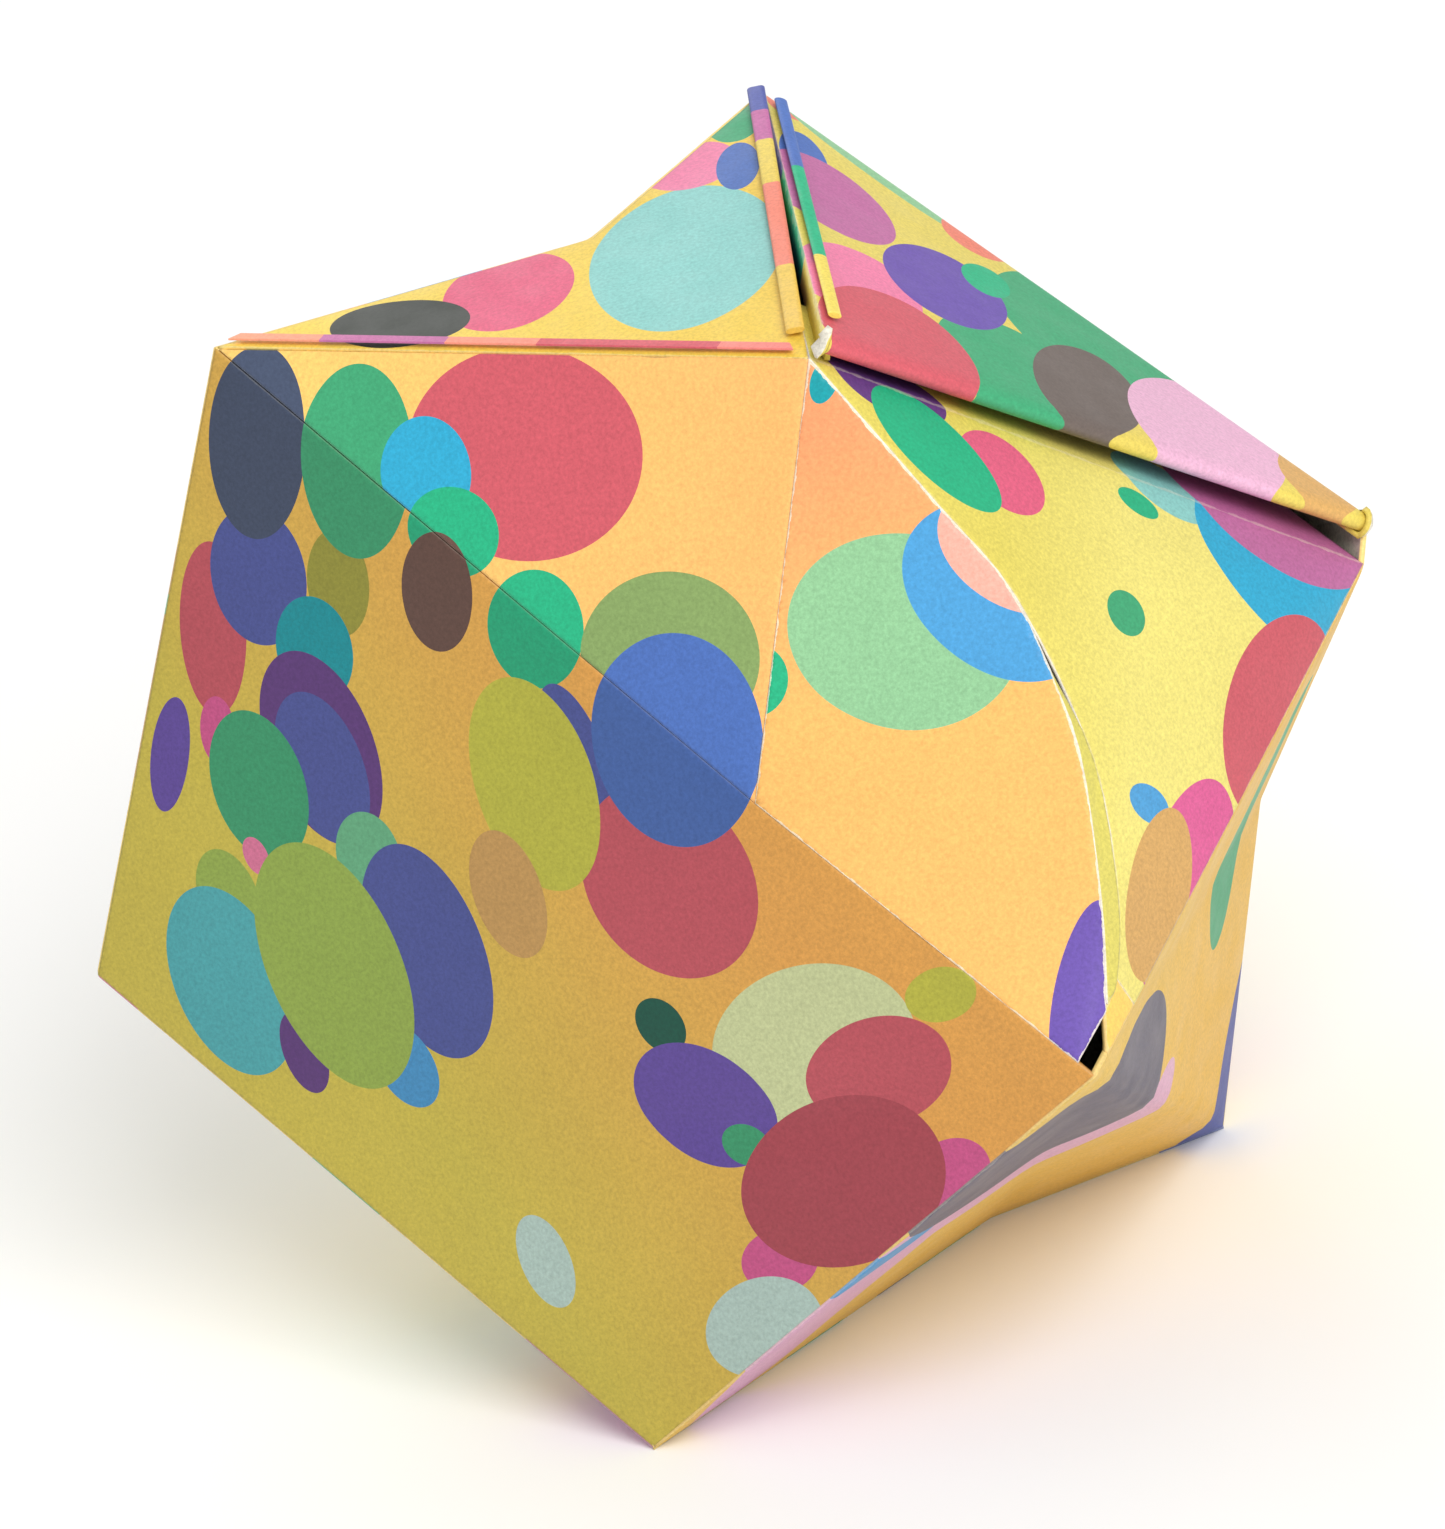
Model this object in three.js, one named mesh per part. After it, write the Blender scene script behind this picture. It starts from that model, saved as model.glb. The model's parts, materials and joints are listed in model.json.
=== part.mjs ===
// A folded paper ball. Its corners follow an icosahedron that stands on one face, with the
// front corner pressed flat, three edges pinched in, and three flaps that lift on their creases.
// Millimetres, +Z up. The origin is the middle of the footprint, on the surface it stands on.
import * as THREE from 'three';

// Driving dimensions
const ballRadius = 50;      // centre to a full corner
const plate = 0.6;          // two layers of craft paper, pressed together
const layer = 0.4;          // a single folded strip
const seam = 0.4;           // gap between the edges of neighbouring sheets
const restGap = 0.3;        // gap between a strip and the sheet it lies on
const flapLift = 2.0;       // how far the crown flap's free corner stands proud
const finSetback = 0.4;     // crown flap's edge, back from the crown seam
const hemWidth = 4.0;       // return fold under the crown flap's free edge
const tuckWidth = 11;       // right panel's tab, pushed under the crown flap
const tuckDrop = 2.5;       // how far the tab dips below the crown flap
const stripInset = 0.6;     // a strip's first edge, in from the crease it lies along
const stripSlant = 0.7;     // run of a strip's slanted end for each millimetre across
const stripMargin = 1;      // a strip's ends, in from the sheet's corners
const edgeInset = 0.3;      // the same first edge for the narrow strip on top
const edgeWidth = 1.2;
const leftFinSize = { width: 1.8, height: 0.9, start: 3.4, shorter: 4, overlap: 0.2 };
const rightFinSize = { width: 1.0, height: 1.0, start: 2, shorter: 5, gap: 0.1 };

// Icosahedron on one face: two face rings and two belt rings of three corners each
const golden = (1 + Math.sqrt(5)) / 2;
const edgeLength = ballRadius / Math.sin((2 * Math.PI) / 5);
const faceRing = edgeLength / Math.sqrt(3);
const beltRing = faceRing * golden;
const faceRise = Math.sqrt(ballRadius ** 2 - faceRing ** 2);
const beltRise = Math.sqrt(ballRadius ** 2 - beltRing ** 2);
const centre = new THREE.Vector3(0, 0, faceRise);
const firstTurn = -65;      // degrees from +X to the crown's front corner

// nudge is how far the folder's hand moved the corner off its true place
function onRing(ring, rise, thirds, nudge = [0, 0, 0]) {
  const turn = THREE.MathUtils.degToRad(firstTurn + thirds * 120);
  const place = new THREE.Vector3(ring * Math.cos(turn), ring * Math.sin(turn), rise);
  return place.add(centre).add(new THREE.Vector3(...nudge));
}

function between(start, end, share) {
  return start.clone().lerp(end, share);
}

// A point pinched in from the edge start-end, towards aim
function pinched(start, end, share, aim, depth) {
  const place = between(start, end, share);
  return place.add(aim.clone().sub(place).setLength(depth));
}

const crownFront = onRing(faceRing, faceRise, 0, [-0.4, 7.2, -2.3]);
const crownBack = onRing(faceRing, faceRise, 1, [-2.7, 0.3, 0.6]);
const crownLeft = onRing(faceRing, faceRise, 2, [1.9, -0.1, -0.1]);
const shoulderRight = onRing(beltRing, beltRise, 0.5, [1, -0.4, -0.8]);
const shoulderRightLow = onRing(beltRing, beltRise, 0.5, [-0.1, -1.8, -3.7]);
const shoulderBack = onRing(beltRing, beltRise, 1.5);
const hipFront = onRing(beltRing, -beltRise, 0, [-0.8, 0, -0.1]);
const hipBack = onRing(beltRing, -beltRise, 1);
const hipLeft = onRing(beltRing, -beltRise, 2, [-0.2, 0.7, 1.4]);
const footRight = onRing(faceRing, -faceRise, 0.5, [0.35, 1.4, 0]);
const footBack = onRing(faceRing, -faceRise, 1.5);
const footFront = onRing(faceRing, -faceRise, 2.5, [1, -3, 0]);

const pressedCorner = onRing(beltRing, beltRise, 2.5);
const outOfPressed = pressedCorner.clone().sub(centre).normalize();
const ridgeMiddle = between(crownLeft, hipFront, 0.63).addScaledVector(outOfPressed, 0.8);
const ridgeEnd = between(ridgeMiddle, hipFront, 0.95);
const crownValley = pinched(crownLeft, crownBack, 0.56, crownFront, 9.6);
const sidePinch = pinched(footRight, shoulderRightLow, 0.53, hipBack, 6);
const footPinch = pinched(footRight, footFront, 0.34, footBack, 5);

// The crown flap's free corner, lifted square to the flap
const flapNormal = crownFront.clone().sub(crownBack)
  .cross(shoulderRight.clone().sub(crownBack)).normalize();
const crownFrontLifted = crownFront.clone().addScaledVector(flapNormal, flapLift);

// The front edge bulges: share runs from crownFront to hipFront, out is away from the centre
const edgeMiddle = between(crownFront, hipFront, 0.5);
const edgeOut = edgeMiddle.clone().sub(centre).normalize();
const edgeRun = hipFront.clone().sub(crownFront).normalize();
const edgeSide = shoulderRightLow.clone().sub(edgeMiddle);
edgeSide.addScaledVector(edgeRun, -edgeSide.dot(edgeRun)).normalize();

function onBulge(share, out, side) {
  return between(crownFront, hipFront, share).addScaledVector(edgeOut, out)
    .addScaledVector(edgeSide, side);
}

const bulgeTop = onBulge(0.23, 2.6, 4.5);
const bulgeHigh = onBulge(0.38, 4.0, 7.3);
const bulgeMiddle = onBulge(0.59, 4.2, 7.3);
const bulgeLow = onBulge(0.785, 2.6, 5.0);
const stripMiddle = onBulge(0.61, 3.9, 8.4);
const stripLow = onBulge(0.79, 2.2, 6.8);
const stripEnd = onBulge(0.89, 1.3, 4.4);
const holeTop = onBulge(0.925, 0.9, 2.6);
const holeSide = between(hipFront, shoulderRightLow, 0.045);
const tabSide = between(hipFront, shoulderRightLow, 0.135);

// Each sheet is a list of flat facets that share creases
const sheets = {
  front_lower_panel: [
    [crownLeft, hipLeft, ridgeMiddle], [hipLeft, footFront, ridgeMiddle],
    [footFront, ridgeEnd, ridgeMiddle], [footFront, hipFront, ridgeEnd],
  ],
  front_left_flap: [[crownLeft, ridgeMiddle, crownFront]],
  front_right_flap: [
    [ridgeMiddle, bulgeTop, crownFront], [ridgeMiddle, bulgeHigh, bulgeTop],
    [ridgeMiddle, bulgeMiddle, bulgeHigh], [ridgeMiddle, bulgeLow, bulgeMiddle],
    [ridgeMiddle, ridgeEnd, bulgeLow], [ridgeEnd, holeTop, bulgeLow],
  ],
  side_edge_strip: [
    [bulgeHigh, bulgeMiddle, stripMiddle], [bulgeMiddle, bulgeLow, stripMiddle],
    [bulgeLow, stripLow, stripMiddle], [bulgeLow, stripEnd, stripLow], [bulgeLow, holeTop, stripEnd],
  ],
  right_panel: [
    [crownFront, bulgeTop, shoulderRightLow], [bulgeTop, bulgeHigh, shoulderRightLow],
    [bulgeHigh, stripMiddle, shoulderRightLow], [stripMiddle, stripLow, shoulderRightLow],
    [stripLow, tabSide, shoulderRightLow], [stripLow, stripEnd, tabSide],
  ],
  corner_tab: [[holeTop, holeSide, tabSide], [holeTop, tabSide, stripEnd]],
  crown_flap: [[crownBack, crownFrontLifted, shoulderRight]],
  top_left_panel: [
    [crownFront, crownBack, crownValley], [crownFront, crownValley, crownLeft],
  ],
  valley_back_panel: [
    [crownBack, shoulderBack, crownValley], [crownValley, shoulderBack, crownLeft],
  ],
  back_crown_panel: [[crownBack, shoulderRight, hipBack]],
  back_upper_panel: [[crownBack, hipBack, shoulderBack]],
  back_left_panel: [[crownLeft, shoulderBack, hipLeft]],
  left_hip_panel: [[shoulderBack, footBack, hipLeft]],
  back_lower_panel: [[shoulderBack, hipBack, footBack]],
  back_foot_panel: [[hipBack, footRight, footBack]],
  left_foot_panel: [[hipLeft, footBack, footFront]],
  side_right_panel: [
    [hipBack, shoulderRight, shoulderRightLow], [hipBack, shoulderRightLow, sidePinch],
    [hipBack, sidePinch, footRight],
  ],
  corner_panel: [
    [hipFront, sidePinch, shoulderRightLow], [hipFront, footRight, sidePinch],
    [hipFront, footPinch, footRight], [hipFront, footFront, footPinch],
  ],
  bottom_panel: [[footRight, footPinch, footBack], [footPinch, footFront, footBack]],
};

// Edges that stand further back from their neighbour than half a seam
const setbacks = [[crownBack, crownFrontLifted, finSetback]];

function setback(start, end) {
  const found = setbacks.find((row) => row.includes(start) && row.includes(end));
  return found ? found[2] : seam / 2;
}

function facetNormal([a, b, c]) {
  return b.clone().sub(a).cross(c.clone().sub(a)).normalize();
}

function turnedOut(facet) {
  const fromCentre = facet[0].clone().sub(centre);
  return facetNormal(facet).dot(fromCentre) > 0 ? facet : [facet[0], facet[2], facet[1]];
}

function edgesOf(facet) {
  return facet.map((corner, i) => [corner, facet[(i + 1) % facet.length]]);
}

// The edges that only one facet has, each running with the sheet on its left
function rimOf(facets) {
  const all = facets.flatMap(edgesOf);
  return all.filter(([a, b]) => !all.some(([c, d]) => a === d && b === c));
}

// Moves a corner so that it clears the walls through its rim edges and stays on its facets
function steppedIn(corner, rim, facets) {
  const normal = new THREE.Vector3();
  facets.filter((facet) => facet.includes(corner)).forEach((facet) => normal.add(facetNormal(facet)));
  const rules = [[normal.normalize(), 0]];
  for (const [a, b] of rim.filter((edge) => edge.includes(corner))) {
    rules.push([facetNormal([centre, a, b]), setback(a, b)]);
  }
  // Damped least squares, so that two walls in line are no trouble
  const damping = 1e-6;
  const square = [damping, 0, 0, 0, damping, 0, 0, 0, damping];
  const target = new THREE.Vector3();
  for (const [n, distance] of rules) {
    const parts = n.toArray();
    parts.forEach((p, row) => parts.forEach((q, column) => { square[3 * row + column] += p * q; }));
    target.addScaledVector(n, distance);
  }
  return corner.clone().add(target.applyMatrix3(new THREE.Matrix3().set(...square).invert()));
}

// The same corner on the sheet's inner side, straight towards the centre of the ball
function sunk(corner, place, facets) {
  const inward = centre.clone().sub(place).normalize();
  const mine = facets.filter((facet) => facet.includes(corner));
  const slope = mine.reduce((sum, facet) => sum - facetNormal(facet).dot(inward), 0) / mine.length;
  return place.clone().addScaledVector(inward, plate / slope);
}

// A plate that follows the facets, with walls that point to the centre of the ball
function foldedSheet(drawnFacets) {
  const facets = drawnFacets.map(turnedOut);
  const rim = rimOf(facets);
  const outer = new Map();
  const inner = new Map();
  for (const corner of new Set(facets.flat())) {
    outer.set(corner, steppedIn(corner, rim, facets));
    inner.set(corner, sunk(corner, outer.get(corner), facets));
  }
  const triangles = [];
  for (const [a, b, c] of facets) {
    triangles.push([outer.get(a), outer.get(b), outer.get(c)]);
    triangles.push([inner.get(a), inner.get(c), inner.get(b)]);
  }
  for (const [a, b] of rim) {
    triangles.push([outer.get(a), inner.get(a), inner.get(b)]);
    triangles.push([outer.get(a), inner.get(b), outer.get(b)]);
  }
  return new THREE.BufferGeometry().setFromPoints(triangles.flat());
}

function paper(colour) {
  return new THREE.MeshStandardMaterial({ color: colour, roughness: 0.62, metalness: 0 });
}

const ball = new THREE.Group();

function add(name, geometry, colour) {
  const mesh = new THREE.Mesh(geometry, paper(colour));
  mesh.name = name;
  ball.add(mesh);
  return mesh;
}

// Lies a shape along the edge start-end: its x runs with the edge, its y runs towards aim
// across the sheet, and its z is square to both
function laidAlong(mesh, start, end, aim, rise) {
  const along = end.clone().sub(start).normalize();
  const across = aim.clone().sub(start);
  across.addScaledVector(along, -across.dot(along)).normalize();
  const up = along.clone().cross(across);
  mesh.quaternion.setFromRotationMatrix(new THREE.Matrix4().makeBasis(along, across, up));
  mesh.position.copy(start).addScaledVector(up, rise);
}

// A strip with slanted ends, so that it stays inside the sheet's corners
function slantedStrip(length, from, to, thickness) {
  const outline = new THREE.Shape();
  const fromEnd = from * stripSlant + stripMargin;
  const toEnd = to * stripSlant + stripMargin;
  outline.moveTo(fromEnd, from);
  outline.lineTo(length - fromEnd, from);
  outline.lineTo(length - toEnd, to);
  outline.lineTo(toEnd, to);
  outline.closePath();
  return new THREE.ExtrudeGeometry(outline, { depth: thickness, bevelEnabled: false });
}

// A fin is a folded edge: a flat loop of paper in section, drawn out along its crease
function finSection(width, height) {
  const half = height / 2;
  const section = new THREE.Shape();
  section.moveTo(half, 0);
  section.lineTo(width - half, 0);
  section.absarc(width - half, half, half, -Math.PI / 2, Math.PI / 2, false);
  section.lineTo(half, height);
  section.absarc(half, half, half, Math.PI / 2, 1.5 * Math.PI, false);
  return section;
}

function finGeometry(length, { width, height }) {
  const geometry = new THREE.ExtrudeGeometry(finSection(width, height), {
    depth: length, bevelEnabled: false, curveSegments: 4,
  });
  // From a section in x-y drawn out along z, to one in y-z drawn out along x
  return geometry.rotateX(Math.PI / 2).rotateZ(Math.PI / 2);
}

const yellow = '#e6c952';
const orange = '#f7bd72';
const lemon = '#f3e67c';
const sheetColours = {
  front_left_flap: orange,
  front_right_flap: orange,
  right_panel: lemon,
  side_edge_strip: '#dfd766',
};

for (const [name, facets] of Object.entries(sheets)) {
  add(name, foldedSheet(facets), sheetColours[name] ?? yellow);
}

// Two fins along the crown seam: the left one lies over it, the right one is the flap's own edge
const seamLength = crownFront.distanceTo(crownBack);
const leftFinShape = finGeometry(seamLength - leftFinSize.shorter, leftFinSize);
leftFinShape.translate(leftFinSize.start, -leftFinSize.overlap, 0);
const leftFin = add('left_fin', leftFinShape, '#e0a24c');
laidAlong(leftFin, crownFront, crownBack, crownValley, restGap);

const rightFinShape = finGeometry(seamLength - rightFinSize.shorter, rightFinSize);
rightFinShape.translate(rightFinSize.start, finSetback + rightFinSize.gap, 0);
const rightFin = add('right_fin', rightFinShape, '#3fae9a');
laidAlong(rightFin, crownBack, crownFrontLifted, shoulderRight, restGap);

// The flap's free edge is folded back under it, and the right panel's tab is tucked below that
const flapEdge = crownFrontLifted.distanceTo(shoulderRight);
const hem = add('crown_hem', slantedStrip(flapEdge, stripInset, stripInset + hemWidth, layer), yellow);
laidAlong(hem, crownFrontLifted, shoulderRight, crownBack, -(plate + restGap + layer));

const tuckEdge = crownFront.distanceTo(shoulderRightLow);
const tuckAim = crownBack.clone().addScaledVector(flapNormal, -tuckDrop);
const tuck = add('right_tuck_tab', slantedStrip(tuckEdge, stripInset, tuckWidth, plate), lemon);
laidAlong(tuck, crownFront, shoulderRightLow, tuckAim, -plate);

// The top sheet's cut edge shows as a narrow strip behind the front crease
const topEdge = crownLeft.distanceTo(crownFront);
const edgeStrip = add('top_edge_strip', slantedStrip(topEdge, edgeInset, edgeWidth, layer), '#e58a6a');
laidAlong(edgeStrip, crownLeft, crownFront, crownBack, restGap);

export default ball;
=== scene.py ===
import json
import math
import random

import bmesh
import bpy
from mathutils import Matrix, Vector, noise
from mathutils.kdtree import KDTree


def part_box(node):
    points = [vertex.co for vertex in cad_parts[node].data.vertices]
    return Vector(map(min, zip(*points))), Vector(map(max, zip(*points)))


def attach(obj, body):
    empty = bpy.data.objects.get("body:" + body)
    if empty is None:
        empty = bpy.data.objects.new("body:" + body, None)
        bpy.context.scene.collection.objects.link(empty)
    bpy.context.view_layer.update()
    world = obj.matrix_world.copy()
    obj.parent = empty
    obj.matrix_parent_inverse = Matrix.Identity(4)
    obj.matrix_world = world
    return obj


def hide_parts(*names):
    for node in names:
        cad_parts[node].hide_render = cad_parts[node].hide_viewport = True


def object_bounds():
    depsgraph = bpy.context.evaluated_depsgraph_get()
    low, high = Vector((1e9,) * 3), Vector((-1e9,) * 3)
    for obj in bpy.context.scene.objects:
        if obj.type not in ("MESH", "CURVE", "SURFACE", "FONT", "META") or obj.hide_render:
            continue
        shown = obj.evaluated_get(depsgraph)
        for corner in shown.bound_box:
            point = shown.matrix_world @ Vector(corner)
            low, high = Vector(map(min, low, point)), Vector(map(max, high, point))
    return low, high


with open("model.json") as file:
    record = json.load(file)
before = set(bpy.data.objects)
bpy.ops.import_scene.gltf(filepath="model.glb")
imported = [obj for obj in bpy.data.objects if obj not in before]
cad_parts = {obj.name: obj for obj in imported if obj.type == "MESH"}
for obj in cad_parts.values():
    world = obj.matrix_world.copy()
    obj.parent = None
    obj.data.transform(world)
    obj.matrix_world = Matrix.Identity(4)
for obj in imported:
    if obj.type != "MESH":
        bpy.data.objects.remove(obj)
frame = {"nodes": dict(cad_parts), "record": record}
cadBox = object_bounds()
nodes = frame["nodes"]
bodyOf = {n: b for b, names in frame["record"]["behaviour"]["bodies"].items() for n in names}
mm = 0.001

# the paper, shared by every sheet
paper = {
    "thickness": 0.42 * mm,
    "meshSteps": (2.2, 0.9, 0.42),  # mm, over a sheet, then nearer and nearer its rim
    "halvings": 9,               # the most passes for one of those steps
    "wallSlope": 0.35,           # a CAD face that looks outwards less than this is a wall or the inner side
    "weld": 0.001 * mm,
    "creaseRound": 0.75 * mm,    # how far in from a crease the paper starts to turn
    "creaseDrop": 0.13 * mm,
    "pillowReach": 7 * mm,       # how far in from the rim the sheet reaches most of its bulge
    "waveSize": 17 * mm,
    "waveHeight": 0.22 * mm,
    "waveReach": 3 * mm,         # the waves fade out over this width of rim
}


def farthest(node, direction):
    aim = Vector(direction)
    return max((v.co for v in nodes[node].data.vertices), key=lambda co: co.dot(aim)).copy()


low, high = Vector(cadBox[0]), Vector(cadBox[1])
ballMiddle = Vector((0, 0, (low.z + high.z) / 2))

# the ball's own corners, read off the sheets that meet there
crownLeft = farthest("front_left_flap", (-1, 0, 0.5))
crownFront = farthest("front_left_flap", (1, 0, 0.5))
crownFrontLifted = farthest("crown_flap", (-0.6, -0.8, 0))
crownBack = farthest("crown_flap", (-0.2, 1, 0.5))
shoulderRight = farthest("crown_flap", (1, -0.2, -1))
shoulderLow = farthest("right_panel", (1, 0, 0))
hipFront = farthest("front_lower_panel", (1, -0.3, 0))
hipLeft = farthest("front_lower_panel", (-1, 0, -0.3))
footRight = farthest("corner_panel", (1, 1, -1))
footFront = farthest("front_lower_panel", (0, 0, -1))
print("frame read:", len(nodes), "nodes")


def outerFaces(node):
    bm = bmesh.new()
    bm.from_mesh(nodes[node].data)
    bmesh.ops.remove_doubles(bm, verts=bm.verts, dist=paper["weld"])
    bm.normal_update()
    hidden = []
    for face in bm.faces:
        outward = (face.calc_center_median() - ballMiddle).normalized()
        if face.normal.dot(outward) < paper["wallSlope"]:
            hidden.append(face)
    bmesh.ops.delete(bm, geom=hidden, context="FACES")
    return bm


def rimStep(vert, reach):
    # the way a rim corner moves when both its edges move out by reach
    outs = []
    for edge in vert.link_edges:
        if edge.is_boundary:
            face = edge.link_faces[0]
            out = (edge.verts[1].co - edge.verts[0].co).cross(face.normal).normalized()
            if out.dot(edge.verts[0].co - face.calc_center_median()) < 0:
                out.negate()
            outs.append(out)
    if len(outs) != 2:
        return Vector()
    return (outs[0] + outs[1]) * (reach / max(0.35, 1 + outs[0].dot(outs[1])))


def rimNeighbours(vert):
    return [e.other_vert(vert) for e in vert.link_edges if e.is_boundary]


def isSharp(vert, degrees=27):
    ends = rimNeighbours(vert)
    if len(ends) != 2:
        return True
    turn = (vert.co - ends[0].co).angle(ends[1].co - vert.co, 0)
    return math.degrees(turn) > degrees


def curveRim(bm, cuts=3):
    # short straight runs of rim become one curve through their corners; the sharp corners stay sharp
    runs = []
    for edge in bm.edges:
        if edge.is_boundary:
            a, b = edge.verts
            before = [v for v in rimNeighbours(a) if v is not b][0].co.copy()
            after = [v for v in rimNeighbours(b) if v is not a][0].co.copy()
            if isSharp(a):
                before = a.co * 2 - b.co
            if isSharp(b):
                after = b.co * 2 - a.co
            runs.append((edge, before, a.co.copy(), b.co.copy(), after))
    for edge, before, start, end, after in runs:
        made = bmesh.ops.subdivide_edges(bm, edges=[edge], cuts=cuts)["geom_inner"]
        for v in made:
            if isinstance(v, bmesh.types.BMVert):
                t = (v.co - start).dot(end - start) / (end - start).length_squared
                v.co = (start * 2 + (end - before) * t + (before * 2 - start * 5 + end * 4 - after) * t * t
                        + (start * 3 - before - end * 3 + after) * t ** 3) / 2
    bmesh.ops.triangulate(bm, faces=bm.faces)


def refine(bm):
    # long edges are halved, over the whole sheet first and then nearer the rim
    for level, step in enumerate(paper["meshSteps"]):
        for _ in range(paper["halvings"]):
            long = [e for e in bm.edges if e.calc_length() > step * mm
                    and (level == 0 or e.verts[0].is_boundary or e.verts[1].is_boundary)]
            if not long:
                break
            bmesh.ops.subdivide_edges(bm, edges=long, cuts=1, use_grid_fill=True, use_single_edge=True)
            bmesh.ops.triangulate(bm, faces=[f for f in bm.faces if len(f.verts) > 3])


def rimPoints(bm):
    places = []
    for edge in bm.edges:
        if edge.is_boundary:
            start, end = edge.verts[0].co, edge.verts[1].co
            places += [start.lerp(end, share / 4) for share in range(4)]
    tree = KDTree(len(places))
    for order, place in enumerate(places):
        tree.insert(place, order)
    tree.balance()
    return tree


def shapedSheet(node, look):
    bm = outerFaces(node)
    steps = [(v, rimStep(v, look.get("reach", 0.2) * mm)) for v in bm.verts if v.is_boundary]
    for v, step in steps:
        v.co += step
    bmesh.ops.triangulate(bm, faces=bm.faces)
    if look.get("curved", False):
        curveRim(bm)
    refine(bm)
    inner = [v for v in bm.verts if not v.is_boundary]
    for _ in range(look.get("relax", 4)):
        bmesh.ops.smooth_vert(bm, verts=inner, factor=0.5, use_axis_x=True, use_axis_y=True, use_axis_z=True)
    bend(bm, look)
    return bm


def bend(bm, look):
    rim = rimPoints(bm)
    distance = bm.verts.layers.float.new("rimDistance")
    pillow = look.get("pillow", 0.25) * mm
    drop = look.get("drop", 1) * paper["creaseDrop"]
    moved = []
    for v in bm.verts:
        away = 0 if v.is_boundary else rim.find(v.co)[2]
        v[distance] = away
        rise = pillow * (1 - math.exp(-away / paper["pillowReach"]))
        wave = noise.noise(v.co / paper["waveSize"]) * paper["waveHeight"]
        wave += noise.noise(v.co / paper["waveSize"] * 3.1 + Vector((7, 3, 1))) * paper["waveHeight"] * 0.3
        short = max(0, 1 - away / paper["creaseRound"])
        rise += wave * min(1, away / paper["waveReach"]) - drop * short * short
        for dent in look.get("dents", ()):
            rise -= dentDepth(v.co, *dent)
        moved.append((v, v.co + (v.co - ballMiddle).normalized() * rise))
    for v, co in moved:
        v.co = co
    keepInside(bm)
    bm.normal_update()


def keepInside(bm):
    # no point of a sheet leaves the CAD model's box
    for v in bm.verts:
        v.co = [min(high[i], max(low[i], v.co[i])) for i in range(3)]


def dentDepth(co, start, end, width, depth):
    run = end - start
    share = min(1, max(0, (co - start).dot(run) / run.length_squared))
    away = (co - start - run * share).length
    fade = math.sin(math.pi * min(0.98, max(0.02, share)))
    return depth * mm * fade * math.exp(-(away / (width * mm)) ** 2)


def printAxes(origin, end, aside):
    # u runs from origin to end and counts 1 there; v runs across, towards aside, at the same scale
    length = (end - origin).length
    u = (end - origin) / length
    v = aside - origin
    v = (v - u * v.dot(u)).normalized()
    return origin, u, v, length


def mapPrint(bm, axes):
    origin, u, v, length = axes
    layer = bm.loops.layers.uv.new("print")
    for face in bm.faces:
        for loop in face.loops:
            place = loop.vert.co - origin
            loop[layer].uv = (place.dot(u) / length, place.dot(v) / length)


sortLine = Vector((1, 0.37, 0.61))


def finished(name, bm, materials, replaced, body, thickness=None, smooth=True, rim=0):
    # extruding leaves points and faces in a new order on each run, so they are put in order along one line
    bm.verts.sort(key=lambda v: v.co.dot(sortLine))
    bm.edges.sort(key=lambda e: (e.verts[0].co + e.verts[1].co).dot(sortLine))
    bm.faces.sort(key=lambda f: f.calc_center_median().dot(sortLine))
    mesh = bpy.data.meshes.new(name)
    bm.to_mesh(mesh)
    bm.free()
    piece = bpy.data.objects.new(name, mesh)
    bpy.context.scene.collection.objects.link(piece)
    for material in materials:
        mesh.materials.append(material)
    if smooth:
        mesh.polygons.foreach_set("use_smooth", [True] * len(mesh.polygons))
    if thickness:
        solid = piece.modifiers.new("paper", "SOLIDIFY")
        solid.thickness = thickness
        solid.offset = -1
        solid.material_offset = 1
        solid.material_offset_rim = rim
    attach(piece, body)
    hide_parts(*replaced)
    return piece


def linear(rgb):
    def channel(c):
        c /= 255
        return c / 12.92 if c <= 0.04045 else ((c + 0.055) / 1.055) ** 2.4
    return (*[channel(c) for c in rgb], 1)


def addNode(tree, kind, settings=None, inputs=None):
    made = tree.nodes.new(kind)
    for key, value in (settings or {}).items():
        setattr(made, key, value)
    for key, value in (inputs or {}).items():
        if isinstance(value, bpy.types.NodeSocket):
            tree.links.new(value, made.inputs[key])
        else:
            made.inputs[key].default_value = value
    return made


def mixed(tree, factor, under, over, blend="MIX"):
    settings = {"data_type": "RGBA", "blend_type": blend}
    made = addNode(tree, "ShaderNodeMix", settings, {0: factor, 6: under, 7: over})
    return made.outputs[2]


def mathNode(tree, kind, a, b):
    return addNode(tree, "ShaderNodeMath", {"operation": kind}, {0: a, 1: b}).outputs[0]


def spread(tree, value, fromLow, fromHigh, toLow, toHigh):
    inputs = {0: value, 1: fromLow, 2: fromHigh, 3: toLow, 4: toHigh}
    return addNode(tree, "ShaderNodeMapRange", None, inputs).outputs[0]


def noiseValue(tree, place, scale, detail=2, rough=0.5):
    inputs = {"Vector": place, "Scale": scale, "Detail": detail, "Roughness": rough}
    return addNode(tree, "ShaderNodeTexNoise", None, inputs).outputs[0]


def blankMaterial(name):
    material = bpy.data.materials.new(name)
    material.use_nodes = True
    tree = material.node_tree
    tree.nodes.clear()
    shader = addNode(tree, "ShaderNodeBsdfPrincipled")
    out = addNode(tree, "ShaderNodeOutputMaterial")
    tree.links.new(shader.outputs[0], out.inputs[0])
    return material, tree, shader


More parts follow.
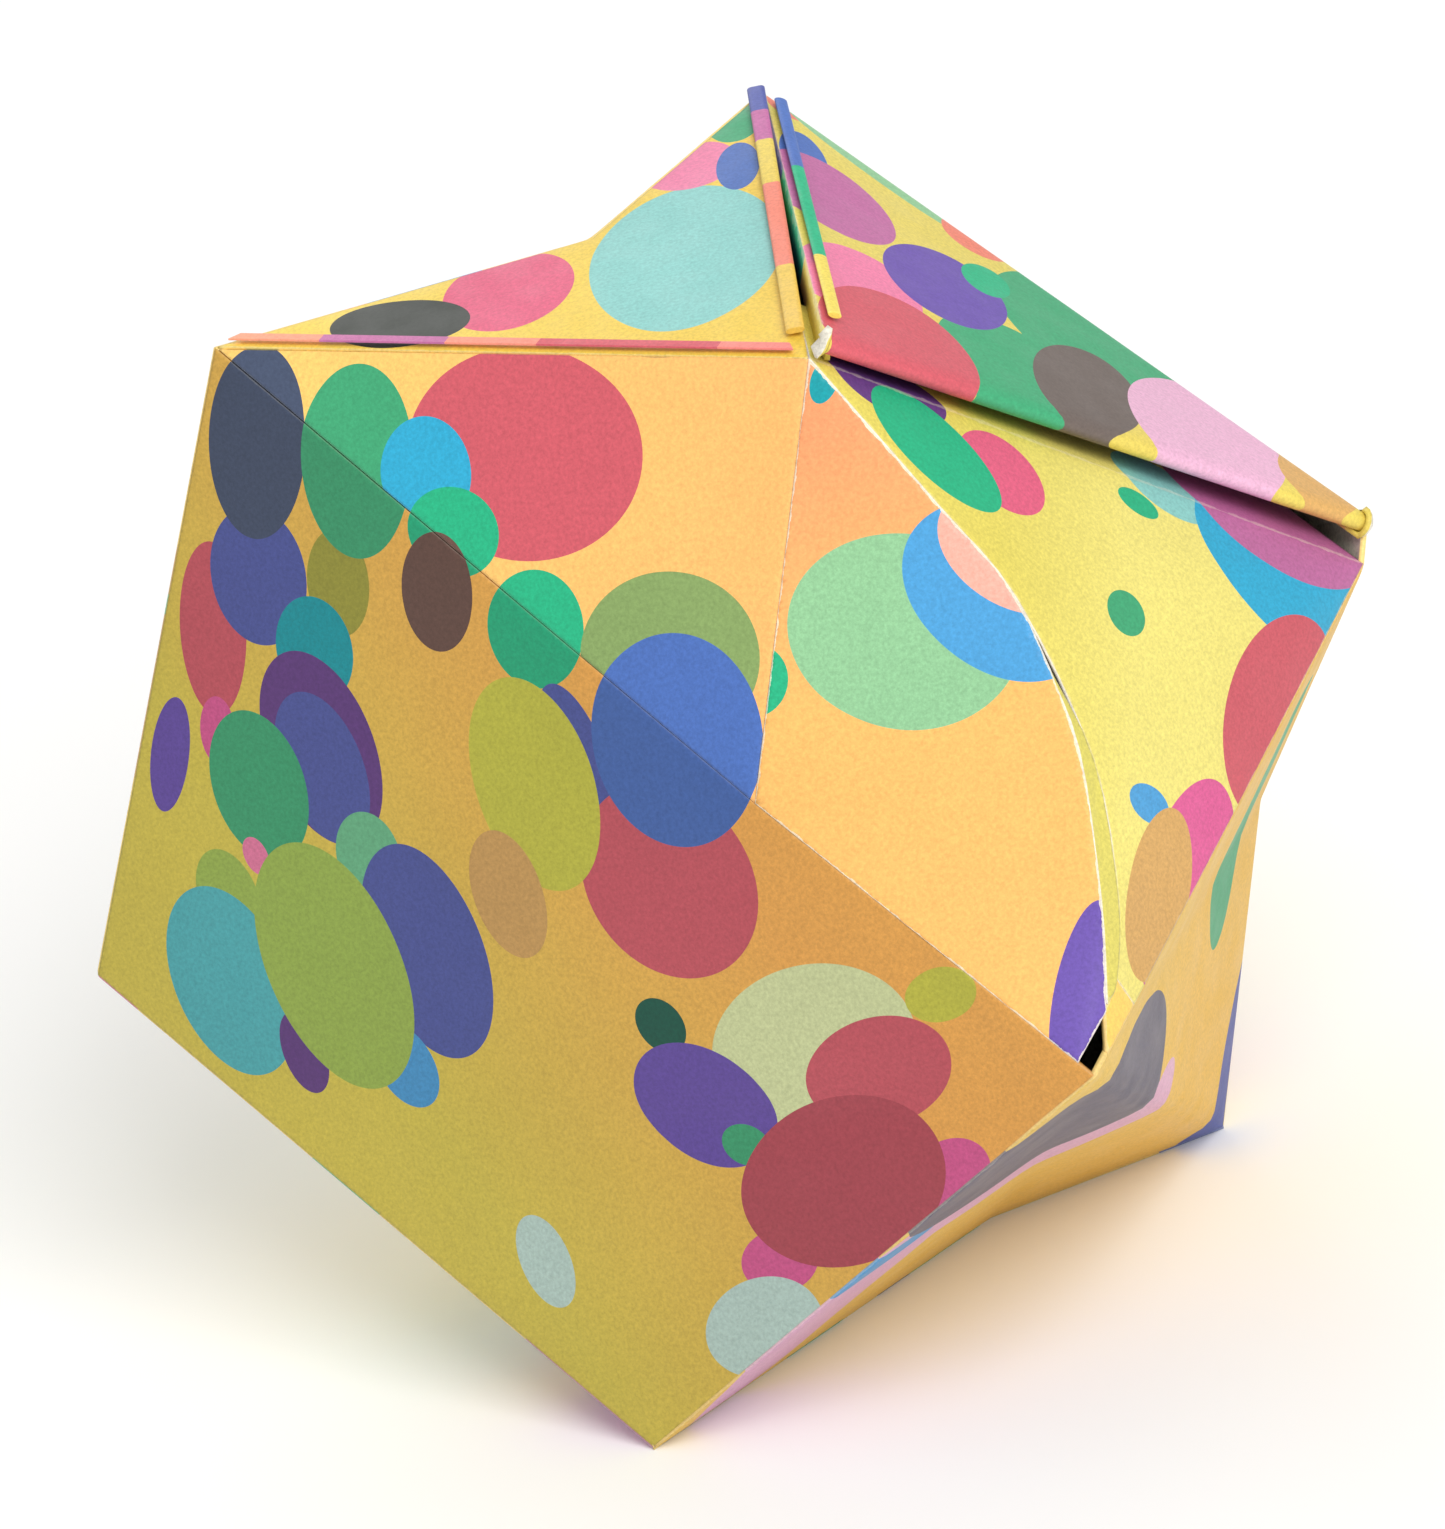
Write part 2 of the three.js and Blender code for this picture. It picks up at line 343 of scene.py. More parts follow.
# scale is noise features for each metre; shade is the darkest and lightest that it makes the paper
surface = {
    "speckle": {"scale": 3600, "detail": 3, "rough": 0.7, "shade": (0.84, 1.12), "share": 0.12},
    "cloud": {"scale": 55, "detail": 3, "rough": 0.5, "shade": (0.955, 1.03)},
    "handling": {"scale": 320, "detail": 4, "rough": 0.5, "share": 0.88},
    "noiseRange": (0.3, 0.7),
    "bump": 0.5,
}


def surfaceNoise(tree, place, kind):
    row = surface[kind]
    return noiseValue(tree, place, row["scale"], row["detail"], row["rough"])


def shaded(tree, colour, value, kind):
    grey = greyFrom(tree, spread(tree, value, *surface["noiseRange"], *surface[kind]["shade"]))
    return mixed(tree, 1.0, colour, grey, "MULTIPLY")


def paperSurface(tree, shader, place, colour, finish):
    # the print's fine speckle, broad clouds, and soft handling marks
    speckle = surfaceNoise(tree, place, "speckle")
    cloud = surfaceNoise(tree, place, "cloud")
    clouded = shaded(tree, shaded(tree, colour, speckle, "speckle"), cloud, "cloud")
    tree.links.new(clouded, shader.inputs["Base Color"])
    handled = surfaceNoise(tree, place, "handling")
    rough = spread(tree, handled, *surface["noiseRange"], finish["roughLow"], finish["roughHigh"])
    tree.links.new(rough, shader.inputs["Roughness"])
    fine = mathNode(tree, "MULTIPLY", speckle, surface["speckle"]["share"])
    soft = mathNode(tree, "MULTIPLY", handled, surface["handling"]["share"])
    height = mathNode(tree, "ADD", fine, soft)
    inputs = {"Strength": surface["bump"], "Distance": finish["grainDepth"], "Height": height}
    bump = addNode(tree, "ShaderNodeBump", None, inputs)
    tree.links.new(bump.outputs[0], shader.inputs["Normal"])


def greyFrom(tree, value):
    return addNode(tree, "ShaderNodeCombineColor", None, {0: value, 1: value, 2: value}).outputs[0]


uncoated = {"roughLow": 0.72, "roughHigh": 0.86, "grainDepth": 0.06 * mm, "specular": 0.3, "fibreShade": 0.93}


def plainPaper(name, rgb):
    material, tree, shader = blankMaterial(name)
    place = addNode(tree, "ShaderNodeTexCoord").outputs["Object"]
    fibre = noiseValue(tree, place, 900, 5, 0.65)
    darker = linear([c * uncoated["fibreShade"] for c in rgb])
    colour = mixed(tree, spread(tree, fibre, 0.35, 0.65, 0, 1), darker, linear(rgb))
    paperSurface(tree, shader, place, colour, uncoated)
    shader.inputs["Specular IOR Level"].default_value = uncoated["specular"]
    return material


coated = {
    "roughLow": 0.42, "roughHigh": 0.56, "grainDepth": 0.035 * mm, "specular": 0.32,
    "coat": 0.05, "coatRough": 0.35,
    "wornInk": (250, 240, 215), "patchScale": 700, "wear": 0.3, "leastWear": 0.02 * mm, "wearStrength": 0.22,
}


def printedPaper(name, look):
    # tint darkens the sheet's whole print: painted shade, set sheet by sheet for the light that sheet gets
    tint = look.get("tint", 1)

    def ink(rgb):
        return (*[c * tint for c in linear(rgb)[:3]], 1)

    material, tree, shader = blankMaterial(name)
    place = addNode(tree, "ShaderNodeTexCoord").outputs["Object"]
    printMap = addNode(tree, "ShaderNodeUVMap", {"uv_map": "print"}).outputs[0]
    length = look["axes"][3] / mm
    startColour, endColour, start, end = look["ground"]
    # the ground runs from one colour to the other between two places on the sheet
    run = Vector(end) - Vector(start)
    along = addNode(tree, "ShaderNodeVectorMath", {"operation": "DOT_PRODUCT"},
                    {0: printMap, 1: (run.x, run.y, 0)}).outputs["Value"]
    share = spread(tree, along, Vector(start).dot(run), Vector(end).dot(run), 0, 1)
    colour = mixed(tree, share, ink(startColour), ink(endColour))
    for inkName, (x, y), (halfLong, halfWide), turn in look["spots"]:
        oval = addNode(tree, "ShaderNodeMapping", {"vector_type": "TEXTURE"}, {
            "Vector": printMap, "Location": (x, y, 0),
            "Rotation": (0, 0, math.radians(turn)), "Scale": (halfLong / length, halfWide / length, 1),
        }).outputs[0]
        radius = addNode(tree, "ShaderNodeVectorMath", {"operation": "LENGTH"}, {0: oval}).outputs["Value"]
        colour = mixed(tree, mathNode(tree, "LESS_THAN", radius, 1), colour, ink(inks[inkName]))
    # ink is worn off the creases, in patches
    rim = addNode(tree, "ShaderNodeAttribute", {"attribute_name": "rimDistance"}).outputs["Fac"]
    patch = noiseValue(tree, place, coated["patchScale"], 4, 0.7)
    reach = spread(tree, patch, 0.35, 0.75, coated["leastWear"], look.get("wear", coated["wear"]) * mm)
    worn = mathNode(tree, "LESS_THAN", rim, reach)
    worn = mathNode(tree, "MULTIPLY", worn, look.get("wearStrength", coated["wearStrength"]))
    colour = mixed(tree, worn, colour, linear(coated["wornInk"]))
    paperSurface(tree, shader, place, colour, coated)
    shader.inputs["Specular IOR Level"].default_value = coated["specular"]
    shader.inputs["Coat Weight"].default_value = coated["coat"]
    shader.inputs["Coat Roughness"].default_value = coated["coatRough"]
    return material


backPaper = plainPaper("uncoatedBack", (236, 230, 214))
cutPaper = plainPaper("cutEdge", (244, 238, 224))

# The ovals, printed, and on the corner panel also a painted sheen: ink, place as shares of the sheet's u
# axis, half length and half width in mm, and the turn from u towards v in degrees. Later ovals lie over
# earlier ones
inks = {
    "navy": (72, 84, 110), "indigo": (84, 94, 166), "violet": (108, 82, 172), "plum": (104, 64, 134),
    "blue": (76, 112, 186), "sky": (76, 160, 216), "cyan": (46, 172, 212), "teal": (14, 158, 168),
    "turquoise": (86, 186, 192), "green": (36, 182, 132), "sea": (64, 168, 118), "sage": (146, 200, 150),
    "pale green": (112, 190, 142), "lime": (164, 190, 84), "yellow green": (206, 202, 74),
    "olive": (164, 160, 62), "moss": (136, 164, 98), "dark green": (18, 92, 74), "black": (58, 62, 56),
    "brown": (110, 80, 70), "umber": (110, 98, 92), "tan": (216, 168, 98), "red": (210, 92, 104),
    "dark red": (186, 78, 90), "pink red": (230, 98, 132), "magenta": (224, 94, 152),
    "orchid": (192, 108, 160), "pink": (238, 130, 168), "pale pink": (230, 178, 206),
    "coral": (238, 134, 112), "salmon": (254, 178, 160), "cream": (222, 230, 172),
    "pale teal": (142, 208, 202), "pale blue": (196, 222, 212), "slate": (108, 104, 120),
}
overRidge = [
    ("navy", (0.07, 0.05), (7.2, 4.2), 65), ("sea", (0.16, 0.0), (7, 4.6), 60),
    ("red", (0.285, -0.105), (9.2, 7.4), 145),
    ("cyan", (0.22, -0.035), (4, 3.6), 50), ("green", (0.27, -0.01), (3.7, 3.2), 150),
    ("brown", (0.285, 0.045), (4.4, 3), 60), ("green", (0.38, 0.01), (4.3, 3.9), 70),
    ("moss", (0.495, -0.05), (6.9, 6), 140),
]
front = (crownLeft, hipFront, hipLeft)
rightSide = (crownFront, shoulderLow, hipFront)
# each sheet's tint is painted shade over its whole print, deepest on the front lower panel
sheetLooks = {
    "front_left_flap": {
        "axes": printAxes(*front), "ground": ((255, 208, 114), (255, 188, 110), (0.1, 0), (0.5, -0.2)),
        "spots": overRidge + [
            ("blue", (0.54, 0.005), (7.6, 6.8), 60), ("tan", (0.33, -0.25), (2.4, 0.7), 145),
        ],
        "wear": 0.1, "wearStrength": 0.06, "drop": 0.5, "tint": 0.97,
    },
    "front_lower_panel": {
        "axes": printAxes(*front), "ground": ((250, 180, 88), (226, 206, 84), (0.5, 0.02), (0.36, 0.42)),
        "spots": [
            ("red", (0.115, 0.23), (6.6, 3), 60), ("magenta", (0.165, 0.31), (2.6, 1.6), 60),
            ("violet", (0.135, 0.365), (4.6, 1.7), 70), ("olive", (0.2, 0.105), (4, 2.7), 60),
            ("indigo", (0.13, 0.155), (5.2, 4.3), 60),
        ] + overRidge[:2] + overRidge[4:7] + [
            ("teal", (0.21, 0.175), (4, 3.4), 60), ("plum", (0.26, 0.25), (7.4, 4.9), 36),
            ("indigo", (0.27, 0.265), (5.8, 3.8), 36), ("sea", (0.225, 0.325), (5.7, 4.3), 42),
            ("lime", (0.25, 0.44), (3.7, 2.8), 38), ("pink", (0.255, 0.385), (1.5, 1.1), 30),
            ("pale green", (0.35, 0.305), (3.5, 2.9), 50), ("indigo", (0.44, 0.34), (8.2, 5.2), 38),
            ("sky", (0.475, 0.45), (3.4, 2.6), 20), ("turquoise", (0.29, 0.51), (7.4, 5.4), 36),
            ("plum", (0.385, 0.515), (3.2, 2), 38), ("lime", (0.37, 0.42), (9.6, 6.3), 34),
            ("indigo", (0.475, 0.085), (6, 2.6), 36), ("red", (0.6, 0.115), (7.4, 7), 0),
            ("yellow green", (0.45, 0.13), (7.9, 5.2), 40), ("blue", (0.54, 0.005), (7.6, 6.8), 60),
            ("tan", (0.48, 0.235), (4.8, 3.1), 40), ("dark green", (0.66, 0.235), (2.2, 1.9), 0),
            ("cream", (0.785, 0.15), (8.6, 5.8), 123), ("yellow green", (0.855, 0.03), (2.9, 1.9), 123),
            ("red", (0.845, 0.13), (6.2, 3.9), 120), ("violet", (0.73, 0.27), (5.9, 4.4), 163),
            ("sea", (0.78, 0.275), (2, 1.5), 150), ("magenta", (0.945, 0.165), (3.6, 2.4), 110),
            ("magenta", (0.86, 0.345), (3.3, 2.3), 120), ("dark red", (0.87, 0.24), (8.8, 6), 118),
            ("pale blue", (0.88, 0.41), (5.2, 3.6), 115), ("pale blue", (0.68, 0.51), (3.6, 2.3), 34),
        ],
        # tint 0.66 here is painted shade, for this panel facing down and away from the light
        "relax": 10, "pillow": 0.35, "wear": 0.1, "wearStrength": 0.06, "drop": 0.5, "tint": 0.66,
        "dents": [(hipLeft.lerp(footFront, 0.45).lerp(hipFront, 0.3), hipFront, 2.4, 0.6),
                  (hipFront.lerp(footFront, 0.12), hipFront.lerp(crownLeft, 0.22), 1.4, 0.45)],
    },
    "front_right_flap": {
        "axes": printAxes(*front), "ground": ((247, 160, 108), (255, 190, 106), (0.5, -0.3), (0.66, -0.12)),
        "spots": [
            ("green", (0.57, -0.085), (2.5, 2.2), 60), ("sage", (0.645, -0.185), (7.8, 6.6), 165),
            ("sky", (0.69, -0.255), (7.3, 5.3), 5), ("salmon", (0.675, -0.285), (5.4, 3.6), 5),
            ("violet", (0.95, -0.045), (5.8, 1.9), 58), ("teal", (0.47, -0.32), (1.6, 0.9), 70),
            ("teal", (0.53, -0.165), (1.7, 0.6), 60),
        ],
        "curved": True, "relax": 14, "pillow": 0.2, "drop": 0.2, "wear": 0.22, "wearStrength": 0.7,
        "tint": 0.95,
    },
    "right_panel": {
        "axes": printAxes(*rightSide), "tint": 0.84,
        "ground": ((232, 216, 100), (242, 228, 126), (0.3, 0.15), (0.55, 0.15)),
        "spots": [
            ("plum", (0.14, -0.01), (5, 2.7), 8), ("pink red", (0.325, 0.075), (3.8, 3.1), 20),
            ("green", (0.21, 0.075), (6, 3), 32), ("green", (0.575, 0.04), (1.8, 1), 15),
            ("sea", (0.53, 0.235), (1.8, 1.7), 0), ("pale teal", (0.64, -0.015), (4.3, 2.7), 15),
            ("cyan", (0.84, 0.06), (8.2, 5.4), 22), ("orchid", (0.86, -0.07), (9.5, 7), 5),
            ("red", (0.86, 0.28), (8.4, 5.8), 116), ("sky", (0.595, 0.5), (2.2, 1.3), 0),
            ("magenta", (0.7, 0.585), (8.6, 4.6), 107), ("tan", (0.64, 0.615), (6.4, 3.4), 98),
        ],
        "curved": True, "relax": 12, "pillow": 0.1, "drop": 0.4, "wear": 0.2,
    },
    "side_edge_strip": {
        "axes": printAxes(*rightSide), "ground": ((214, 204, 90), (226, 214, 104), (0, 0), (0.5, 0.5)),
        "spots": [], "curved": True, "relax": 3, "pillow": -0.1, "drop": 0, "wear": 0.12, "tint": 0.84,
    },
    "corner_tab": {
        "axes": printAxes(*rightSide), "ground": ((240, 204, 104), (240, 198, 96), (0, 0), (0.5, 0.5)),
        "spots": [], "pillow": -0.2, "reach": 0.3,
    },
    "crown_flap": {
        "axes": printAxes(crownBack, shoulderRight, crownFrontLifted),
        "ground": ((228, 210, 104), (228, 206, 96), (0, 0), (0.8, 0.3)),
        "spots": [
            ("coral", (0.03, -0.02), (3, 2), 75), ("sage", (0.2, -0.01), (9.5, 2.5), 0),
            ("blue", (0.13, 0.14), (5, 2), 60), ("orchid", (0.21, 0.22), (7, 5.4), 50),
            ("sea", (0.58, 0.065), (10.4, 8.5), 75), ("sea", (0.6, 0.37), (8, 7), 70),
            ("pink", (0.375, 0.46), (7, 5), 75), ("red", (0.49, 0.56), (8.6, 6.4), 70),
            ("violet", (0.42, 0.26), (7.2, 5), 75), ("green", (0.43, 0.135), (3.2, 2), 75),
            ("coral", (0.35, -0.01), (3.7, 2.9), 75), ("umber", (0.655, 0.26), (8, 4.4), 75),
            ("pale pink", (0.79, 0.12), (9.3, 6.5), 75), ("tan", (0.925, 0.0), (5, 3.4), 75),
        ],
        "relax": 8, "wear": 0.2, "tint": 0.97,
        "side": {
            "axes": printAxes(crownBack, shoulderRight, crownFrontLifted),
            "ground": ((226, 204, 92), (226, 204, 92), (0, 0), (1, 0)),
            "spots": [("green", (0.2, 0.32), (10, 30), 58), ("indigo", (0.05, 0.08), (9, 30), 58)],
        },
    },
    "top_left_panel": {
        "axes": printAxes(crownLeft, crownFront, crownBack),
        "ground": ((248, 216, 92), (242, 206, 80), (0.2, 0), (0.8, 0.3)),
        "spots": [
            ("green", (0.61, 0.21), (4, 2), 112), ("pale teal", (0.67, 0.315), (11.5, 7), 112),
            ("pink red", (0.415, 0.195), (6.2, 4.8), 112), ("black", (0.275, 0.085), (5.4, 3.5), 0),
            ("pink", (0.545, 0.625), (4.1, 3.5), 112), ("blue", (0.63, 0.625), (4, 1.6), 112),
            ("sea", (0.56, 0.78), (3.5, 2), 112),
        ],
        "pillow": 0.2, "wear": 0.15, "tint": 0.9,
        "side": {
            "axes": printAxes(crownFront, crownBack, crownLeft),
            # the darker brown ground of this seam side is painted shade, beside the left fin
            "ground": ((196, 150, 66), (196, 150, 66), (0, 0), (1, 0)),
            "spots": [("coral", (0.46, 0), (8, 30), 0), ("plum", (0.9, 0), (8, 30), 0)],
        },
    },
    "corner_panel": {
        "axes": printAxes(hipFront, footRight, shoulderLow),
        "ground": ((242, 202, 92), (240, 192, 82), (0, 0), (0.5, 0.3)), "tint": 0.86, "wearStrength": 0.2,
        "spots": [
            # the two pale pink ovals along the fold edges are painted sheen, the light that the rounded folds
            # catch
            ("pale pink", (0.34, -0.36), (17, 5.5), 121), ("pale pink", (0.42, -0.12), (11, 4), 62),
            ("sky", (0.25, -0.33), (4.5, 2.4), 60), ("slate", (0.26, -0.07), (12, 8.5), 60),
            ("sea", (0.6, 0.42), (11, 5), 108), ("indigo", (0.95, 0.1), (8, 3.4), 100),
        ],
        "pillow": 0.15, "relax": 3,
    },
}


def scattered(seed, count, reach):
    draw = random.Random(seed)
    spots = []
    for _ in range(count):
        middle = (draw.uniform(-reach, reach), draw.uniform(-reach, reach))
        halfLong = draw.uniform(2.2, 9)
        wide = halfLong * draw.uniform(0.6, 0.92)
        spots.append((draw.choice(sorted(inks)), middle, (halfLong, wide), draw.uniform(0, 180)))
    return spots


# the sheets that face away carry the same kind of print, scattered by a seed
hiddenSheets = [
    "valley_back_panel", "back_crown_panel", "back_upper_panel", "back_left_panel", "left_hip_panel",
    "back_lower_panel", "back_foot_panel", "left_foot_panel", "side_right_panel", "bottom_panel",
]
scatter = {"firstSeed": 31, "ovals": 17, "reach": 0.5, "unit": 50 * mm, "level": 0.3}


def hiddenLook(node, seed):
    lowCorner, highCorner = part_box(node)
    middle = (Vector(lowCorner) + Vector(highCorner)) / 2
    outward = (middle - ballMiddle).normalized()
    across = Vector((0, 0, 1)).cross(outward)
    across = across.normalized() if across.length > scatter["level"] else Vector((1, 0, 0))
    upwards = outward.cross(across)
    warm = node == "back_lower_panel"
    return {
        "axes": printAxes(middle, middle + across * scatter["unit"], middle + upwards * scatter["unit"]),
        "ground": ((252, 200, 112) if warm else (242, 214, 102), (244, 208, 98), (-0.4, -0.4), (0.4, 0.4)),
        "spots": scattered(seed, scatter["ovals"], scatter["reach"]),
        "relax": 3, "drop": 0 if node == "bottom_panel" else 1,
    }


for order, node in enumerate(hiddenSheets):
    sheetLooks[node] = hiddenLook(node, scatter["firstSeed"] + order)

# the crown flap's free edge is rolled under and runs on as a hem
hem = {
    "radius": 0.62 * mm, "width": 4 * mm, "steps": 7, "endSlant": 0.7,
    "edgeReach": 0.6 * mm, "rollDepth": 0.15 * mm, "rimDistance": 0.5 * mm,
}


def rollEdge(bm, start, end, within):
    along = (end - start).normalized()
    inward = within - start
    inward = (inward - along * inward.dot(along)).normalized()
    normal = along.cross(inward)
    if normal.dot(start - ballMiddle) < 0:
        normal.negate()
    edges = []
    for edge in bm.edges:
        gaps = [(v.co - start - along * (v.co - start).dot(along)).length for v in edge.verts]
        if edge.is_boundary and max(gaps) < hem["edgeReach"]:
            edges.append(edge)
    centre = sum((v.co for e in edges for v in e.verts), Vector()) / (2 * len(edges)) - normal * hem["radius"]
    turn = math.pi if along.cross(normal).dot(inward) < 0 else -math.pi
    spun = bmesh.ops.spin(bm, geom=edges, cent=centre, axis=along, angle=turn, steps=hem["steps"])
    last = [g for g in spun["geom_last"] if isinstance(g, bmesh.types.BMEdge)]
    under = bmesh.ops.extrude_edge_only(bm, edges=last)["geom"]
    verts = [g for g in under if isinstance(g, bmesh.types.BMVert)]
    for v in verts:
        # the hem's ends slant in, so that it stays under the flap
        away = (v.co - start).dot(along) / (end - start).length - 0.5
        v.co += inward * hem["width"] - along * away * 2 * hem["width"] * hem["endSlant"]
    bmesh.ops.recalc_face_normals(bm, faces=bm.faces)
    total = sum((f.normal * f.calc_area() for f in bm.faces), Vector())
    if total.dot(normal) < 0:
        bmesh.ops.reverse_faces(bm, faces=bm.faces)
    distance = bm.verts.layers.float["rimDistance"]
    for v in bm.verts:
        if (v.co - centre).dot(inward) < hem["rollDepth"] or (v.co - centre).dot(normal) < 0:
            v[distance] = hem["rimDistance"]
    keepInside(bm)


# the right panel's upper edge runs on, under the crown flap
tuck = {
    "width": 9.5 * mm, "drop": 2.6 * mm, "startSlant": 0.3, "endSlant": 0.82, "steps": 6,
    "edgeReach": 1 * mm, "rimDistance": 0.6 * mm,
}
alongLeast = 0.8  # an edge runs along a line when the cosine between them is above this
flapNormal = (crownFrontLifted - crownBack).cross(shoulderRight - crownBack).normalized()
if flapNormal.z < 0:
    flapNormal.negate()
tuckAim = crownBack - flapNormal * tuck["drop"]


def rimEdgesAlong(bm, start, end, within):
    run = (end - start).normalized()
    found = []
    for edge in bm.edges:
        gaps = [(v.co - start - run * (v.co - start).dot(run)).length for v in edge.verts]
        side = (edge.verts[1].co - edge.verts[0].co).normalized().dot(run)
        if edge.is_boundary and max(gaps) < within and abs(side) > alongLeast:
            found.append(edge)
    return found


def tuckUnder(bm, start, end, aim):
    along = (end - start).normalized()
    inward = aim - start
    inward = (inward - along * inward.dot(along)).normalized()
    edges = rimEdgesAlong(bm, start, end, tuck["edgeReach"])
    distance = bm.verts.layers.float["rimDistance"]
    for _ in range(tuck["steps"]):
        made = bmesh.ops.extrude_edge_only(bm, edges=edges)["geom"]
        step = tuck["width"] / tuck["steps"]
        for part in made:
            if isinstance(part, bmesh.types.BMVert):
                share = min(1, max(0, (part.co - start).dot(along) / (end - start).length))
                slant = tuck["startSlant"] * (1 - share) - tuck["endSlant"] * share
                part.co += (inward + along * slant) * step
                part[distance] = tuck["rimDistance"]
        edges = [part for part in made if isinstance(part, bmesh.types.BMEdge) and part.is_boundary
                 and abs((part.verts[1].co - part.verts[0].co).normalized().dot(along)) > alongLeast]
    bmesh.ops.recalc_face_normals(bm, faces=bm.faces)
    if sum(f.normal.dot(f.calc_center_median() - ballMiddle) * f.calc_area() for f in bm.faces) < 0:
        bmesh.ops.reverse_faces(bm, faces=bm.faces)


# at the crown seam the paper runs on down, as the side of the fold
seamSide = {"depth": 2.4 * mm, "edgeReach": 0.9 * mm, "rimDistance": 0.6 * mm, "material": 3}


def foldDown(bm, start, end):
    edges = rimEdgesAlong(bm, start, end, seamSide["edgeReach"])
    made = bmesh.ops.extrude_edge_only(bm, edges=edges)["geom"]
    distance = bm.verts.layers.float["rimDistance"]
    for part in made:
        if isinstance(part, bmesh.types.BMVert):
            part.co += (ballMiddle - part.co).normalized() * seamSide["depth"]
            part[distance] = seamSide["rimDistance"]
        if isinstance(part, bmesh.types.BMFace):
            part.material_index = seamSide["material"]
            part.smooth = False


for node, look in sheetLooks.items():
    bm = shapedSheet(node, look)
    replaced = [node]
    if node == "crown_flap":
        rollEdge(bm, crownFrontLifted, shoulderRight, crownBack)
        foldDown(bm, crownBack, crownFrontLifted)
        replaced.append("crown_hem")
    if node == "right_panel":
        tuckUnder(bm, crownFront, shoulderLow, tuckAim)
        replaced.append("right_tuck_tab")
    if node == "top_left_panel":
        foldDown(bm, crownFront, crownBack)
    mapPrint(bm, look["axes"])
    materials = [printedPaper(node + "Print", look), backPaper, cutPaper]
    if "side" in look:
        materials.append(printedPaper(node + "Side", look["side"]))
    finished(node + "_sheet", bm, materials, replaced, bodyOf[node], paper["thickness"],
             rim=2 if look.get("curved") else 0)
print("sheets made:", len(sheetLooks))


# folded strips, with the print crossing them in bands
strip = {"bevel": 0.06 * mm, "bevelSteps": 2, "rimDistance": 0.4 * mm}
seamAxes = printAxes(crownFront, crownBack, crownLeft)
stripLooks = {
    "left_fin": {
        "axes": seamAxes, "ground": ((232, 190, 84), (226, 206, 92), (0, 0), (1, 0)),
        "spots": [("coral", (0.46, 0), (7, 30), 0), ("orchid", (0.86, 0), (3.4, 30), 0),
                  ("indigo", (0.99, 0), (4, 30), 0)],
        "flatten": 0.5, "narrow": 0.25,
    },
    "right_fin": {
        "axes": seamAxes, "ground": ((238, 216, 96), (238, 216, 96), (0, 0), (1, 0)),
        "spots": [("green", (0.5, 0), (9, 30), 0), ("blue", (0.87, 0), (9, 30), 0)],
        "flatten": 0.55,
    },
    "top_edge_strip": {
        "axes": printAxes(crownLeft, crownFront, crownBack),
        "ground": ((246, 160, 124), (238, 130, 124), (0, 0), (1, 0)),
        "spots": [("orchid", (0.28, 0), (5, 30), 0), ("red", (0.7, 0), (7, 30), 0)],
        "flatten": 0.6,
    },
}


def flatNormal(bm):
    # the way the strip's widest face looks, away from the ball's middle
    def outwardArea(face):
        return face.calc_area() * max(0, face.normal.dot(face.calc_center_median() - ballMiddle))
    return max(bm.faces, key=outwardArea).normal.copy()


for node, look in stripLooks.items():
    bm = bmesh.new()
    bm.from_mesh(nodes[node].data)
    bmesh.ops.remove_doubles(bm, verts=bm.verts, dist=paper["weld"])
    bmesh.ops.dissolve_limit(bm, angle_limit=math.radians(1), verts=bm.verts, edges=bm.edges)
    bmesh.ops.bevel(bm, geom=bm.edges, offset=strip["bevel"], offset_type="OFFSET", affect="EDGES",
                    segments=strip["bevelSteps"], profile=0.5, material=-1, clamp_overlap=True)
    distance = bm.verts.layers.float.new("rimDistance")
    if "flatten" in look:
        # pressed down towards the sheet that it lies on
        normal = flatNormal(bm)
        base = min(v.co.dot(normal) for v in bm.verts)
        for v in bm.verts:
            v.co -= normal * (v.co.dot(normal) - base) * look["flatten"]
    if "narrow" in look:
        origin, u, across, length = look["axes"]
        for v in bm.verts:
            v.co -= across * (v.co - origin).dot(across) * look["narrow"]
    for v in bm.verts:
        v[distance] = strip["rimDistance"]
    mapPrint(bm, look["axes"])
    finished(node + "_strip", bm, [printedPaper(node + "Print", look)], [node], bodyOf[node],
             smooth=False)
print("strips made:", len(stripLooks))


